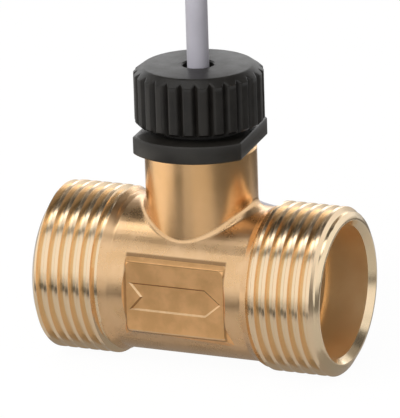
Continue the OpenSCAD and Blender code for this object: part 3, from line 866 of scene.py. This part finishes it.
@dataclass
class SensorHead:
    """The black head on the neck: flange with its stud, and the ribbed cap nut."""

    neck_x: float = 30.5
    neck_top: float = 27.1
    flange_r: float = 14.2
    flange_flats: float = 22.0
    flange_thick: float = 3.6
    flange_turn: float = 7.0
    stud_r: float = 9.0
    stud_top: float = 39.9
    probe_r: float = 7.85
    probe_z: float = 14.5
    chamber_r: float = 5.6
    chamber_z: float = 15.3
    seat_r: float = 6.3
    seat_z: float = 36.0
    cap_r: float = 12.7
    cap_foot: float = 32.1
    cap_under: float = 41.8
    cap_top: float = 43.4
    hole_r: float = 3.1
    ribs: int = 26
    groove: float = 0.9
    groove_share: float = 0.42
    crown: float = 0.09

    def housing(self) -> None:
        """Builds the flange, the stud and the probe."""
        shape = Shape()
        bmesh.ops.create_circle(
            shape.bm, cap_ends=True, segments=128, radius=self.flange_r
        )
        half = self.flange_flats / 2.0
        for side in (-1.0, 1.0):
            turn = math.radians(self.flange_turn)
            way = (side * math.cos(turn), side * math.sin(turn), 0.0)
            shape.cut(tuple(half * c for c in way), way)
        ring = bmesh.ops.create_circle(
            shape.bm, segments=128, radius=self.chamber_r + 0.6
        )["verts"]
        disc = max(shape.bm.faces, key=lambda f: f.calc_area())
        rim = list(disc.edges)
        bmesh.ops.delete(shape.bm, geom=[disc], context="FACES_ONLY")
        hole = list({e for v in ring for e in v.link_edges})
        bmesh.ops.bridge_loops(shape.bm, edges=[*rim, *hole])
        up = bmesh.ops.extrude_face_region(shape.bm, geom=list(shape.bm.faces))["geom"]
        shape.shift((0.0, 0.0, self.flange_thick), verts_in(up))
        bmesh.ops.recalc_face_normals(shape.bm, faces=shape.bm.faces)
        edges = [
            e
            for e in shape.bm.edges
            if e.calc_length() > 0.0
            and e.calc_face_angle(0.0) > 0.5
            and min(math.hypot(v.co.x, v.co.y) for v in e.verts) > 8.0
        ]
        bmesh.ops.bevel(
            shape.bm, geom=edges, offset=0.4, segments=3, profile=0.5, affect="EDGES",
            material=-1, clamp_overlap=True,
        )
        shape.shift((self.neck_x, 0.0, self.neck_top))
        edge = 0.3
        shape.lathe(
            [
                (0.0, self.probe_z), (self.probe_r - 0.6, self.probe_z),
                (self.probe_r - 0.17, self.probe_z + 0.17),
                (self.probe_r, self.probe_z + 0.6), (self.probe_r, self.neck_top + 0.6),
                (self.stud_r, self.neck_top + 0.6), (self.stud_r, self.stud_top - edge),
                (self.stud_r - edge, self.stud_top), (self.seat_r, self.stud_top),
                (self.seat_r, self.seat_z), (self.chamber_r, self.seat_z),
                (self.chamber_r, self.chamber_z), (0.0, self.chamber_z),
            ],
            self.neck_x,
        )
        shape.merged()
        made = shape.finished("sensor_housing_shell", (FLANGE,))
        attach(made, "sensor")
        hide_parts("sensor_housing")

    def rib_depth(self, angle: float) -> float:
        """How far the grooves cut in at an angle about the neck, in millimetres."""
        pitch = 2.0 * math.pi / self.ribs
        away = abs((angle / pitch + 0.5) % 1.0 - 0.5)
        half = self.groove_share / 2.0
        if away < half:
            share = away / half
            return (self.groove - self.crown) * (1.0 - share**1.15) + self.crown
        soft = smooth_step((away - half) / (0.5 * half))
        return self.crown * (1.0 - soft)

    def cap(self) -> None:
        """Builds the ribbed cap nut."""
        shape = Shape()
        r, top, foot = self.cap_r, self.cap_top, self.cap_foot
        side = [(r, foot + 0.5 + 9.2 * i / 12) for i in range(13)]
        bevel = [(r - 1.9 * i / 9, top - 1.4 + 1.4 * i / 9) for i in range(9)]
        edge = [(r - 1.9, top - 0.05), (r - 2.15, top)]
        profile = [
            (self.hole_r, self.cap_under), (self.stud_r + 0.15, self.cap_under),
            (self.stud_r + 0.15, foot), (r - 0.5, foot), *side,
            (r - 0.06, top - 1.52), *bevel, *edge,
            (self.hole_r + 0.3, top), (self.hole_r, top - 0.3),
        ]
        shape.lathe(profile, self.neck_x, self.ribs * 14)
        shape.merged()
        for vert in shape.bm.verts:
            x, y = vert.co.x - self.neck_x, vert.co.y
            radius, angle = math.hypot(x, y), math.atan2(y, x)
            if radius > self.stud_r + 1.0:
                limit = r - self.rib_depth(angle)
                share = min(1.0, limit / radius)
                vert.co = Vector((self.neck_x + x * share, y * share, vert.co.z))
        made = shape.finished("ribbed_cap_nut", (CAP,), crease=38.0)
        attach(made, "sensor")
        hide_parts("cap_nut")


@dataclass
class Lead:
    """The cable: its free run, the tied hank and the stripped end."""

    diameter: float = 4.35
    length: float = 1000.0
    hank_x: Pair = (-0.6, 27.4)
    hank_y: float = 37.9
    radii: Pair = (13.05, 17.4)
    tiers: Point = (-13.845, -9.495, -5.145)
    tie_x: float = 4.5
    tie_wide: float = 6.5
    tie_thick: float = 0.6
    floor: float = -16.62

    def rise(self) -> list[Point]:
        """The free run from the cap nut over and down to the hank."""
        return [
            (30.5, 0, 34), (30.5, 0, 43.4), (30.5, 0, 50), (30.5, 0, 57),
            (29.5, 2.1, 68.5), (26.7, 8.1, 78.2), (22.7, 17.1, 84.7), (17.8, 27.65, 87),
            (12.9, 38.2, 84.7), (8.8, 47.2, 78.2), (6.1, 53.2, 68.5), (5.2, 55.3, 57),
            (5.2, 55.3, 45), (5.2, 55.3, 30), (5.2, 55.3, 18), (6.6, 55.3, 6),
            (10.5, 55.3, 0.2), (16.3, 55.3, -3.7), (23.2, 55.3, -5.145),
        ]

    def on_oval(self, turn: float, radius: float, z: float) -> Point:
        """A point on the hank's oval, where 0 to 4 is one turn."""
        side = 1.0 if turn % 4.0 < 2.0 else -1.0
        start, end = self.hank_x if side > 0.0 else reversed(self.hank_x)
        share = turn % 2.0
        if share < 1.0:
            return (start + (end - start) * share, self.hank_y + side * radius, z)
        angle = math.pi * (share - 1.0)
        out, across = side * radius * math.sin(angle), side * radius * math.cos(angle)
        return (end + out, self.hank_y + across, z)

    def winding(self) -> list[Point]:
        """The turns of the hank, from the outside at the top to the inside below."""
        inner, outer = self.radii
        low, mid, high = self.tiers
        seats = [(high, outer), (high, inner), (mid, inner), (mid, outer), (low, outer),
                 (low, inner)]
        windows = [(3.66, 3.99), (3.33, 3.66), (3.0, 3.33), (2.5, 3.0), (2.0, 2.5)]
        points = []
        for number, (z, radius) in enumerate(seats):
            start = 0.9 if number == 0 else 0.0
            stop = 2.0 if number == 5 else 4.0
            count = int((stop - start) * 14)
            for i in range(count):
                share = start + (stop - start) * i / count
                place = (z, radius)
                if number < 5:
                    first, last = windows[number]
                    ease = smooth_step((share - first) / (last - first))
                    after = seats[number + 1]
                    place = tuple(a + (b - a) * ease for a, b in zip(place, after))
                points.append(self.on_oval(share, place[1], place[0]))
        return points

    def tail(self) -> list[Point]:
        """The cable's last stretch, on the surface inside the hank."""
        return [
            (27.4, 24.85, -13.845), (23.7, 25.9, -13.8), (20.2, 28.9, -13.8),
            (16.7, 32.2, -13.8), (13.2, 34.3, -13.8),
        ]

    def smoothed(self, points: Sequence[Point], parts: int = 4) -> list[Vector]:
        """A curve through the points, with parts pieces between each two."""
        knots = [Vector(p) for p in points]
        knots = [2 * knots[0] - knots[1], *knots, 2 * knots[-1] - knots[-2]]
        made = []
        for a, b, c, d in zip(knots, knots[1:], knots[2:], knots[3:]):
            t1, step, rest = (
                max(1e-6, (q - p).length) ** 0.5 for p, q in ((a, b), (b, c), (c, d))
            )
            t2 = t1 + step
            t3 = t2 + rest
            for i in range(parts):
                t = t1 + (t2 - t1) * i / parts
                ab = a.lerp(b, t / t1)
                bc = b.lerp(c, (t - t1) / (t2 - t1))
                cd = c.lerp(d, (t - t2) / (t3 - t2))
                abc = ab.lerp(bc, t / t2)
                bcd = bc.lerp(cd, (t - t1) / (t3 - t1))
                made.append(abc.lerp(bcd, (t - t1) / (t2 - t1)))
        return [*made, knots[-2]]

    def jacket(self) -> bpy.types.Object:
        """Builds the cable as one curve.

        Returns:
            The cable.
        """
        free = self.smoothed(self.rise())
        wound = [Vector(p) for p in self.winding()]
        points = [*free, *wound, *self.smoothed(self.tail())]
        path = [points[0]]
        for point in points[1:]:
            if (point - path[-1]).length > 0.6:
                path.append(point)
        curve = bpy.data.curves.new("signal_cable", "CURVE")
        curve.dimensions = "3D"
        curve.bevel_depth = self.diameter / 2.0 * MM
        curve.bevel_resolution = 8
        curve.use_fill_caps = True
        spline = curve.splines.new("POLY")
        spline.points.add(len(path) - 1)
        for knot, point in zip(spline.points, path):
            knot.co = (*(point * MM), 1.0)
        curve.materials.append(JACKET.make())
        made = placed("signal_cable", curve)
        run = sum((q - p).length for p, q in zip(path, path[1:]))
        log.info("signal_cable: %d points, %.0f mm", len(path), run)
        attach(made, "sensor")
        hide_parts("cable", "cable_hank", "cable_tail")
        return made

    def strap(self) -> bpy.types.Object:
        """Builds the strap round the hank, with its overlapping end.

        Returns:
            The strap.
        """
        shape = Shape()
        outer = self.radii[1] + self.diameter / 2.0
        low = self.hank_y - outer
        high = self.hank_y + outer
        foot = self.floor + self.tie_thick
        top = foot + 3.0 * self.diameter
        corner = 1.9
        middles = [
            (high - corner, top - corner, 0.0), (low + corner, top - corner, 90.0),
            (low + corner, foot + corner, 180.0), (high - corner, foot + corner, 270.0),
        ]
        loop = []
        for y, z, start in middles:
            for i in range(7):
                angle = math.radians(start + 15.0 * i)
                out, rise = corner * math.cos(angle), corner * math.sin(angle)
                loop.append((self.tie_x, y + out, z + rise))
        edges = shape.outline(loop, True)
        half = self.tie_wide / 2.0
        shape.shift((-half, 0.0, 0.0))
        shape.grown(edges, lambda p: p + Vector((self.tie_wide, 0.0, 0.0)))
        bmesh.ops.recalc_face_normals(shape.bm, faces=shape.bm.faces)
        bmesh.ops.solidify(shape.bm, geom=list(shape.bm.faces), thickness=-0.55)
        flap = Shape()
        made = bmesh.ops.create_cube(flap.bm, size=1.0)["verts"]
        bmesh.ops.scale(flap.bm, vec=(self.tie_wide - 0.4, 14.0, 0.5), verts=made)
        bmesh.ops.bevel(
            flap.bm, geom=list(flap.bm.edges), offset=0.16, segments=2, profile=0.5,
            affect="EDGES", material=-1,
        )
        flap.shift((self.tie_x, self.hank_y + 2.0, top + 0.75))
        shape.add(flap)
        strap = shape.finished("hank_strap", (STRAP,))
        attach(strap, "sensor")
        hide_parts("hank_tie")
        return strap

    def build(self) -> None:
        """Builds the cable and its strap."""
        strap = self.strap()
        cable = self.jacket()


class Inside:
    """The pieces inside the pipe and the head, which keep their CAD shapes."""

    dressed: Mapping[Finish, tuple[str, ...]] = {
        STEEL: ("retaining_ring", "rotor_shaft"),
        WHITE: ("inlet_spider", "outlet_spider", "cartridge_sleeve", "slip_washer"),
        RUBBER: ("cartridge_seal", "head_seal", "cable_grommet"),
        IVORY: ("inlet_bearing", "outlet_bearing"),
        BLUE: ("rotor",),
        MAGNET: ("rotor_magnets",),
        BOARD: ("sensor_board",),
        CHIP: ("hall_chip",),
        TIN: ("board_parts", "core_ferrules"),
        RED: ("board_leads", "core_red"),
        BLACK: ("core_black",),
        YELLOW: ("core_yellow",),
    }

    def dress(self) -> None:
        """Gives every CAD piece that stays its finish."""
        for finish, names in self.dressed.items():
            for name in names:
                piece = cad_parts[name]
                piece.data.materials.clear()
                piece.data.materials.append(finish.make())
                log.info("%s: %s", name, finish.name)


@dataclass
class Studio:
    """Floor, world, lamps, the cards that paint reflections into the metal, and the
    camera.
    """

    floor_z: float = -16.62
    eye: Point = (0.5241, -1.0776, 0.3807)
    right: Point = (0.9124, 0.4083, -0.0297)
    up: Point = (-0.0948, 0.2816, 0.9549)
    lens: float = 547.1

    def camera(self) -> None:
        """Sets the camera at the photograph's viewing point."""
        right = Vector(self.right)
        back = right.cross(Vector(self.up)).normalized()
        data = bpy.data.cameras.new("view")
        data.lens = self.lens
        data.sensor_width = 36.0
        data.sensor_fit = "AUTO"
        data.clip_start = 0.05
        data.clip_end = 50.0
        made = placed("view", data)
        turn = Matrix((right, back.cross(right), back)).transposed().to_4x4()
        made.matrix_world = Matrix.Translation(self.eye) @ turn
        bpy.context.scene.camera = made

    def seen(self, book: NodeBook, metal: object) -> Socket:
        """1 for what the camera sees, and metal for what gloss and glass show."""
        rays = book.tree.nodes.new("ShaderNodeLightPath")
        glossy = Socket(book, rays.outputs["Is Glossy Ray"])
        through = Socket(book, rays.outputs["Is Transmission Ray"])
        direct = Socket(book, rays.outputs["Is Camera Ray"])
        return direct.highest(glossy.highest(through) * metal)

    def world(self) -> None:
        """A white surround that lights the object softly."""
        world = bpy.data.worlds.new("surround")
        bpy.context.scene.world = world
        world.use_nodes = True
        book = NodeBook(world.node_tree)
        shown = self.seen(book, 1.0)
        sky = book.node(
            "ShaderNodeBackground",
            None,
            {"Color": (1.0, 1.0, 1.0, 1.0), "Strength": 0.5 + 0.5 * shown},
        )
        book.node("ShaderNodeOutputWorld", None, {"Surface": sky})

    def plane(
        self, name: str, size: Pair, place: Point, facing: Point
    ) -> bpy.types.Object:
        """A flat card in metres that faces a direction.

        Args:
            name: the card's name.
            size: its width and height.
            place: its middle.
            facing: where its front looks.

        Returns:
            The card.
        """
        bm = bmesh.new()
        verts = bmesh.ops.create_grid(bm, x_segments=1, y_segments=1, size=0.5)["verts"]
        bmesh.ops.scale(bm, vec=(size[0], size[1], 1.0), verts=verts)
        turn = Vector(facing).to_track_quat("Z", "Y").to_matrix()
        bmesh.ops.rotate(bm, cent=(0, 0, 0), matrix=turn, verts=verts)
        bmesh.ops.translate(bm, vec=place, verts=verts)
        mesh = bpy.data.meshes.new(name)
        bm.to_mesh(mesh)
        bm.free()
        made = placed(name, mesh)
        return made

    def painted(self, made: bpy.types.Object) -> NodeBook:
        """Gives a card an empty material of its own, and returns its nodes."""
        material = bpy.data.materials.new(made.name)
        material.use_nodes = True
        made.data.materials.append(material)
        return NodeBook(material.node_tree)

    def floor(self) -> None:
        """A pale floor that looks white and keeps the object's soft shadow."""
        made = self.plane("floor", (12.0, 12.0), (0.0, 0.0, self.floor_z * MM), (0, 0, 1))
        book = self.painted(made)
        matt = book.node(
            "ShaderNodeBsdfDiffuse", None, {"Color": (0.48, 0.47, 0.455, 1.0)}
        )
        white = book.node(
            "ShaderNodeEmission", None, {"Color": (1.0, 1.0, 1.0, 1.0), "Strength": 1.05}
        )
        away = book.node(
            "ShaderNodeVectorMath",
            {"operation": "DISTANCE"},
            {0: book.place(), 1: (30.5, 0.0, self.floor_z)},
            out="Value",
        )
        # Painted shade round the tee in its reflections: the white share that the metal
        # mirrors falls from 0.3 to 0.16 nearer than 100 mm to the tee's foot.
        metal = 0.16 + 0.14 * book.ramp(away, 50.0, 100.0)
        both = book.node(
            "ShaderNodeMixShader", None,
            {0: self.seen(book, metal) * 0.92, 1: matt, 2: white},
        )
        book.node("ShaderNodeOutputMaterial", None, {"Surface": both})

    def card(
        self, name: str, size: Pair, place: Point, glow: float, facing: Point = (0, 0, 1)
    ) -> None:
        """A card that only the gloss of the object shows, as a painted reflection.

        Args:
            name: the card's name.
            size: its width and height.
            place: its middle.
            glow: its brightness, where the background has 1.
            facing: where its front looks.
        """
        made = self.plane(name, size, place, facing)
        book = self.painted(made)
        even = book.node(
            "ShaderNodeEmission",
            None,
            {"Color": (1.0, 0.94, 0.86, 1.0), "Strength": glow},
        )
        book.node("ShaderNodeOutputMaterial", None, {"Surface": even})
        made.visible_camera = False
        made.visible_diffuse = False
        made.visible_shadow = False

    def lamp(
        self, name: str, place: Point, size: Pair, power: float, gloss: bool = True
    ) -> None:
        """A soft box that looks at the object.

        Args:
            name: the lamp's name.
            place: its middle.
            size: its width and height.
            power: its power in watts.
            gloss: whether the metal mirrors it.
        """
        data = bpy.data.lights.new(name, "AREA")
        data.shape = "RECTANGLE"
        data.size, data.size_y = size
        data.energy = power
        made = placed(name, data)
        aim = Vector((0.03, 0.0, 0.01)) - Vector(place)
        turn = aim.to_track_quat("-Z", "Y").to_matrix().to_4x4()
        made.matrix_world = Matrix.Translation(place) @ turn
        made.visible_glossy = gloss

    def build(self) -> None:
        """Builds the whole studio."""
        self.camera()
        self.world()
        self.floor()
        self.lamp("strip_lamp", (-0.13, -0.27, 1.5), (1.8, 0.42), 3.6)
        self.lamp("fill_lamp", (-0.35, -1.25, 1.05), (1.0, 1.0), 19.0, False)
        self.lamp("back_lamp", (-0.64, 1.39, 0.5), (2.0, 0.35), 3.0)
        # Painted reflections: cards that only the metal mirrors. The dark ones stand in
        # for shade on the floor and overhead, and the bright ones glow though they are no
        # lamps.
        low = self.floor_z * MM + 0.0003
        self.card("card_line", (0.09, 0.032), (-0.004, -0.0655, low), 0.02)
        self.card("card_front", (0.042, 0.055), (-0.02, -0.128, low), 0.02)
        self.card("card_under", (0.08, 0.012), (0.03, -0.004, low), 0.3)
        self.card("card_mid", (0.09, 0.075), (0.085, -0.1225, low), 0.8)
        self.card("card_right", (0.3, 0.4), (0.265, 0.0, low - 0.0001), 0.17)
        self.card("card_behind", (0.14, 0.1), (0.1, 0.157, low + 0.0002), 0.15)
        self.card("card_edge", (0.058, 0.08), (-0.101, 0.07, low), 0.1)
        self.card("card_bright", (0.11, 0.135), (-0.1, -0.0675, low + 0.0001), 1.3)
        self.card("card_top", (2.4, 0.62), (0.0, 0.326, 1.0), 0.06, (0, 0, -1))
        self.card("card_over", (2.4, 0.2), (0.0, -0.48, 1.0), 0.02, (0, 0, -1))
        self.card("card_back", (2.4, 0.9), (0.0, 1.09, 1.0), 0.3, (0, 0, -1))
        bpy.context.scene.view_settings.view_transform = "Standard"


def main() -> None:
    """Builds the sensor and its studio."""
    logging.basicConfig(level=logging.INFO, format="%(name)s: %(message)s")
    Studio().build()
    Lead().build()
    BrassTee().build()
    head = SensorHead()
    head.housing()
    head.cap()
    Inside().dress()
    bpy.context.view_layer.update()


if __name__ == "__main__":
    main()
